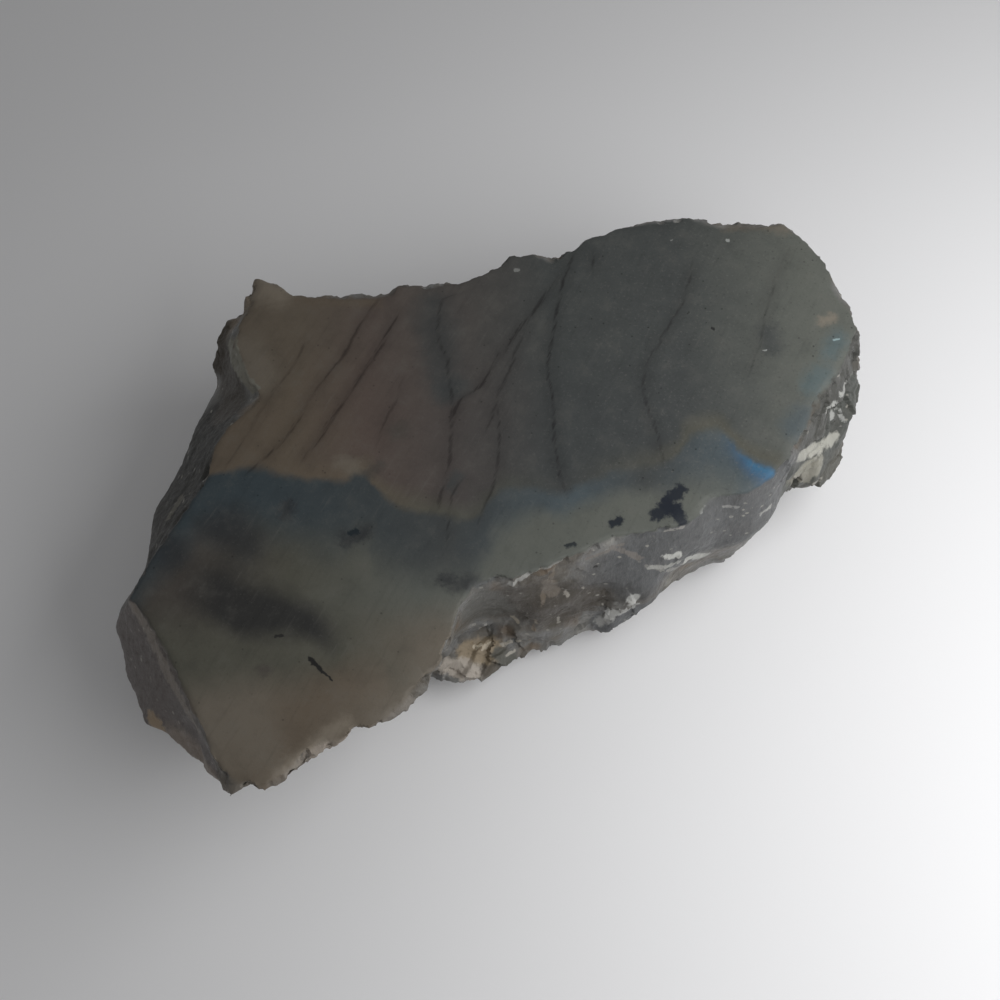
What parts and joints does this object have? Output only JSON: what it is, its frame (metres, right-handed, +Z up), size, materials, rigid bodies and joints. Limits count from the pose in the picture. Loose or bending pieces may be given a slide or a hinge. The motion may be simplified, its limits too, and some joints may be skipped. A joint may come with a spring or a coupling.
{
  "type": "rough labradorite chunk",
  "caption": "Rough chunk of grey labradorite with a level sawn face, bands of blue and bronze flash, dark cracks and stepped broken sides; rests on a flat of its underside",
  "frame": {"origin": "on the table, under the middle of the stone's bounding box", "axes": "+X along the stone's longest extent, from the pointed tongue towards the rounded end; +Z up, square to the sawn face; +Y to the left of +X"},
  "size_m": [0.0826, 0.0496, 0.021],
  "materials": {
    "labradorite": "sawn face with a low sheen, broken sides rougher, thin blue and bronze schiller"
  },
  "bodies": {
    "root": {"labradorite_chunk": "labradorite"}
  },
  "joints": []
}
